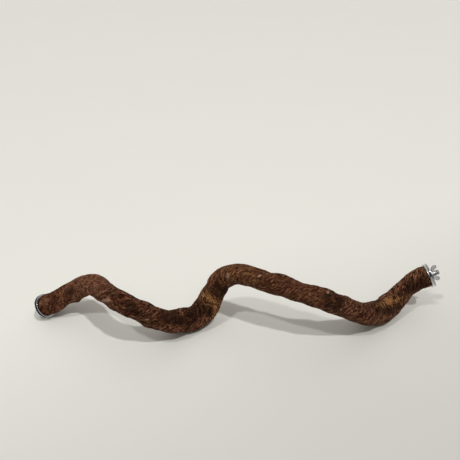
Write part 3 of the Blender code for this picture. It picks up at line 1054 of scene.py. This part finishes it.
class VineSettings(bpy.types.PropertyGroup):
    """Sizes and colours of the vine's bark."""

    fibre_pitch: bpy.props.FloatProperty(
        name="Fibre pitch", description="Length in which the fibres wind once round the stem",
        default=0.075, min=0.02, subtype="DISTANCE", unit="LENGTH")
    ridge_height: bpy.props.FloatProperty(
        name="Ridge height", description="Height of the fine ridges between fibres",
        default=0.00022, min=0.0, subtype="DISTANCE", unit="LENGTH")
    furrow_depth: bpy.props.FloatProperty(
        name="Furrow depth", description="Depth of the furrows that part the bark",
        default=0.0004, min=0.0, subtype="DISTANCE", unit="LENGTH")
    bark_color: bpy.props.FloatVectorProperty(
        name="Bark", description="Middle tone of the brown bark",
        default=(0.110, 0.0396, 0.0194), size=3, min=0.0, max=1.0, subtype="COLOR")
    wood_color: bpy.props.FloatVectorProperty(
        name="Bare wood", description="Golden wood where the bark is worn off",
        default=(0.178, 0.084, 0.033), size=3, min=0.0, max=1.0, subtype="COLOR")
    # Also the colour of the painted shade in the furrows, pores and pits and under the stem.
    dark_color: bpy.props.FloatVectorProperty(
        name="Dark patches", description="Nearly black patches and furrows",
        default=(0.0115, 0.0040, 0.0020), size=3, min=0.0, max=1.0, subtype="COLOR")
    # Also the colour of one painted highlight.
    scar_color: bpy.props.FloatVectorProperty(
        name="Scars", description="Pale scars where twigs were trimmed",
        default=(0.46, 0.27, 0.19), size=3, min=0.0, max=1.0, subtype="COLOR")


class FittingSettings(bpy.types.PropertyGroup):
    """Sizes and colours of the studs, washers and wing nuts."""

    thread_depth: bpy.props.FloatProperty(
        name="Thread depth", description="Height of the stud's thread from root to crest",
        default=0.00058, min=0.0001, max=0.001, subtype="DISTANCE", unit="LENGTH")
    washer_edge: bpy.props.FloatProperty(
        name="Washer edge", description="Rounding of the washers' rolled edges",
        default=0.00028, min=0.00005, max=0.00045, subtype="DISTANCE", unit="LENGTH")
    wing_thickness: bpy.props.FloatProperty(
        name="Wing thickness", description="Thickness of a wing at its root",
        default=0.0019, min=0.0008, max=0.002, subtype="DISTANCE", unit="LENGTH")
    zinc_color: bpy.props.FloatVectorProperty(
        name="Zinc", description="Colour of the plating",
        default=(0.54, 0.545, 0.56), size=3, min=0.0, max=1.0, subtype="COLOR")


class StageSettings(bpy.types.PropertyGroup):
    """The table top and the lights."""

    floor_size: bpy.props.FloatProperty(
        name="Table size", description="Width of the table top",
        default=9.0, min=1.0, subtype="DISTANCE", unit="LENGTH")
    floor_color: bpy.props.FloatVectorProperty(
        name="Table top", description="Colour of the table top",
        default=(0.80, 0.80, 0.765), size=3, min=0.0, max=1.0, subtype="COLOR")
    key_strength: bpy.props.FloatProperty(
        name="Key light", description="Strength of the light from the right",
        default=1.07, min=0.0, unit="POWER")
    fill_strength: bpy.props.FloatProperty(
        name="Fill light", description="Strength of the light from the left",
        default=0.58, min=0.0, unit="POWER")
    sky_strength: bpy.props.FloatProperty(
        name="Room light", description="Strength of the light from all round",
        default=0.36, min=0.0, unit="POWER")


class PERCH_OT_vine(bpy.types.Operator):
    """Build the twisted vine stem with its bark"""

    bl_idname = "perch.vine"
    bl_label = "Vine stem"

    def execute(self, context):
        look = context.scene.perch_vine
        grid, layers = stem_surface(look)
        vine = add_surface("vine", grid, poles=True)
        for name, values in layers.items():
            flat = values.reshape(-1, *values.shape[2:])
            store(vine, name, np.concatenate([flat, flat[:1], flat[-1:]]))
        dress(vine, bark_material(look), "perch", "bark", "vine_stem")
        return {"FINISHED"}


class PERCH_OT_studs(bpy.types.Operator):
    """Build the threaded studs set in the cut ends"""

    bl_idname = "perch.studs"
    bl_label = "Studs"

    def execute(self, context):
        look = context.scene.perch_fittings
        for side in SIDES:
            grid = stand(stud_surface(look.thread_depth / MM), side, 0.0)
            stud = add_surface(side + "_threaded_stud", grid, poles=True)
            dress(stud, zinc_material(look), "perch", "zinc", side + "_stud")
        return {"FINISHED"}


class PERCH_OT_washers(bpy.types.Operator):
    """Build the inner and outer washers"""

    bl_idname = "perch.washers"
    bl_label = "Washers"

    def execute(self, context):
        look = context.scene.perch_fittings
        for side in SIDES:
            for which, body in (("inner", "perch"), ("outer", side + "_washer")):
                node = side + "_" + which + "_washer"
                grid = stand(washer_surface(look.washer_edge / MM), side, seat(node, side))
                washer = add_surface(side + "_" + which + "_plate", grid, loop_rows=True)
                dress(washer, zinc_material(look), body, "zinc", node)
        return {"FINISHED"}


class PERCH_OT_wing_nuts(bpy.types.Operator):
    """Build the two wing nuts"""

    bl_idname = "perch.wing_nuts"
    bl_label = "Wing nuts"

    def execute(self, context):
        look = context.scene.perch_fittings
        for side in SIDES:
            node = side + "_wing_nut"
            nut = wing_nut(side + "_nut_cast", look)
            points = np.zeros(len(nut.data.vertices) * 3)
            nut.data.vertices.foreach_get("co", points)
            placed = stand(points.reshape(-1, 3), side, seat(node, side), NUT_TURNS[side])
            nut.data.vertices.foreach_set("co", (placed * MM).ravel())
            nut.data.shade_smooth()
            dress(nut, zinc_material(look), side + "_nut", "zinc", node)
        return {"FINISHED"}


class PERCH_OT_stage(bpy.types.Operator):
    """Set up the table top, the lights and the camera"""

    bl_idname = "perch.stage"
    bl_label = "Stage"

    def execute(self, context):
        look = context.scene.perch_stage
        half = look.floor_size / 2
        mesh = bpy.data.meshes.new("table_top")
        mesh.from_pydata([(-half, -half, 0), (half, -half, 0), (half, half, 0), (-half, half, 0)],
                         [], [(0, 1, 2, 3)])
        mesh.materials.append(floor_material(look))
        table = bpy.data.objects.new("table_top", mesh)
        context.scene.collection.objects.link(table)
        add_sun("key", look.key_strength, KEY_TOWARDS, KEY_WIDTH)
        add_sun("fill", look.fill_strength, FILL_TOWARDS, FILL_WIDTH)
        studio_world(look)
        lens = bpy.data.cameras.new("camera")
        lens.sensor_width = CAMERA_SENSOR
        lens.lens = CAMERA_LENS
        lens.clip_start = CAMERA_CLIP
        camera = bpy.data.objects.new("camera", lens)
        camera.location = CAMERA_PLACE
        camera.rotation_euler = (math.radians(90.0 - CAMERA_DIP), 0.0, 0.0)
        context.scene.collection.objects.link(camera)
        context.scene.camera = camera
        context.scene.view_settings.view_transform = "Standard"
        return {"FINISHED"}


class PERCH_PT_panel(bpy.types.Panel):
    """Lists the perch's pieces and settings in the sidebar"""

    bl_idname = "PERCH_PT_panel"
    bl_label = "Vine Perch"
    bl_space_type = "VIEW_3D"
    bl_region_type = "UI"
    bl_category = "Vine Perch"

    def draw(self, context):
        groups = (
            (context.scene.perch_vine, ("perch.vine",)),
            (context.scene.perch_fittings, ("perch.studs", "perch.washers", "perch.wing_nuts")),
            (context.scene.perch_stage, ("perch.stage",)),
        )
        for settings, operators in groups:
            box = self.layout.box()
            for name in settings.__annotations__:
                box.prop(settings, name)
            for operator in operators:
                box.operator(operator)


CLASSES = (
    VineSettings, FittingSettings, StageSettings, PERCH_OT_vine, PERCH_OT_studs,
    PERCH_OT_washers, PERCH_OT_wing_nuts, PERCH_OT_stage, PERCH_PT_panel,
)


def register():
    """Add the classes and the scene's settings to Blender."""
    for item in CLASSES:
        bpy.utils.register_class(item)
    bpy.types.Scene.perch_vine = bpy.props.PointerProperty(type=VineSettings)
    bpy.types.Scene.perch_fittings = bpy.props.PointerProperty(type=FittingSettings)
    bpy.types.Scene.perch_stage = bpy.props.PointerProperty(type=StageSettings)


def unregister():
    """Take them out again."""
    del bpy.types.Scene.perch_stage
    del bpy.types.Scene.perch_fittings
    del bpy.types.Scene.perch_vine
    for item in reversed(CLASSES):
        bpy.utils.unregister_class(item)


def main():
    """Build the perch and its stage."""
    register()
    bpy.ops.perch.vine()
    bpy.ops.perch.studs()
    bpy.ops.perch.washers()
    bpy.ops.perch.wing_nuts()
    bpy.ops.perch.stage()


if __name__ == "__main__":
    main()
